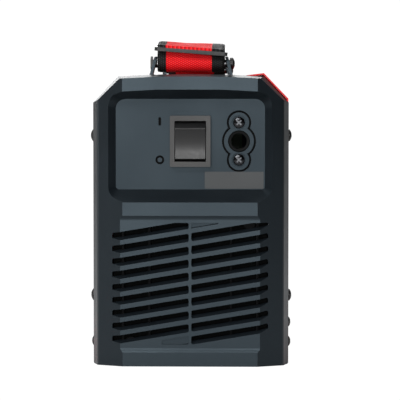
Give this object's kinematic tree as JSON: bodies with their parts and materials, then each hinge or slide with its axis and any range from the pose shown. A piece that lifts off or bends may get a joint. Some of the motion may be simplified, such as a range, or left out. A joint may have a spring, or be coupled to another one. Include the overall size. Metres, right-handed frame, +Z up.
{
  "type": "stick welding inverter",
  "caption": "Small portable stick welding inverter: moulded end panels, red steel cover, rocker mains switch, cable inlet, slanted vents, fan, strap handle, output sockets.",
  "frame": {"origin": "on the floor, under the centre of the whole box", "axes": "+X to the right as seen from behind, +Y from the rear panel to the front panel, +Z up"},
  "size_m": [0.1248, 0.2576, 0.2025],
  "materials": {
    "body_plastic": "fine spark-eroded texture",
    "cover_paint": "smooth gloss enamel",
    "base_steel": "satin",
    "foot_rubber": "matt",
    "zinc_steel": "bright zinc",
    "black_steel": "black oxide",
    "switch_plastic": "fine texture",
    "rocker_plastic": "polished",
    "brass": "plain",
    "wire_blue": "plain",
    "bush_rubber": "matt",
    "label": "satin film",
    "webbing": "woven twill, red with black edges",
    "slider_plastic": "polished",
    "fan_plastic": "satin",
    "copper": "enamelled copper",
    "board_green": "solder mask",
    "capacitor_sleeve": "shrink sleeve",
    "device_epoxy": "moulded",
    "heatsink_alu": "extruded",
    "ferrite": "sintered",
    "tape_yellow": "polyester tape",
    "relay_blue": "moulded",
    "terminal_green": "moulded",
    "window_red": "tinted acrylic",
    "lamp_red": "diffused",
    "knob_plastic": "satin"
  },
  "bodies": {
    "housing": {"rear_panel": "body_plastic", "front_panel": "body_plastic", "top_cover": "cover_paint", "base_plate": "base_steel", "rubber_feet": "foot_rubber", "foot_screws": "zinc_steel", "panel_screws": "zinc_steel", "base_nuts": "zinc_steel", "cover_screws": "black_steel", "joint_tabs": "zinc_steel", "base_screws": "black_steel", "switch_housing": "switch_plastic", "switch_terminals": "brass", "switch_leads": "wire_blue", "cable_bushing": "bush_rubber", "inlet_screws": "black_steel", "cable_clamp": "switch_plastic", "rating_label": "label", "rear_strap_bracket": "body_plastic", "front_strap_bracket": "body_plastic", "bracket_screws": "zinc_steel", "strap_bolts": "black_steel", "strap_sleeves": "zinc_steel", "strap_nuts": "black_steel", "carry_strap": "webbing", "strap_slider": "slider_plastic", "fan_frame": "fan_plastic", "fan_motor": "copper", "fan_screws": "zinc_steel", "main_board": "board_green", "board_standoffs": "brass", "board_screws": "zinc_steel", "bulk_capacitors": "capacitor_sleeve", "input_rectifier": "device_epoxy", "transistor_heatsink": "heatsink_alu", "power_transistors": "device_epoxy", "diode_heatsink": "heatsink_alu", "output_diodes": "device_epoxy", "device_screws": "zinc_steel", "transformer_core": "ferrite", "transformer_windings": "copper", "output_choke": "copper", "aux_transformer": "tape_yellow", "softstart_relay": "relay_blue", "terminal_block": "terminal_green", "control_board": "board_green", "output_busbars": "copper", "socket_flanges": "fan_plastic", "socket_contacts": "brass", "socket_nuts": "zinc_steel", "display_board": "board_green", "display_standoffs": "fan_plastic", "display_module": "device_epoxy", "display_window": "window_red", "indicator_leds": "lamp_red", "potentiometer": "zinc_steel"},
    "rocker": {"switch_rocker": "rocker_plastic"},
    "fan_rotor": {"fan_impeller": "fan_plastic"},
    "knob": {"current_knob": "knob_plastic", "pot_shaft": "zinc_steel"}
  },
  "joints": [
    {"name": "rocker_tilt", "type": "hinge", "parent": "housing", "child": "rocker", "pos_m": [0, -0.1172, 0.13875], "axis": [-1, 0, 0], "range_deg": [0, 22]},
    {"name": "fan_spin", "type": "hinge", "parent": "housing", "child": "fan_rotor", "pos_m": [0, -0.1076, 0.05315], "axis": [0, 1, 0], "continuous": true},
    {"name": "knob_turn", "type": "hinge", "parent": "housing", "child": "knob", "pos_m": [0.02, 0.1212, 0.125], "axis": [0, 1, 0], "range_deg": [-150, 150]}
  ]
}
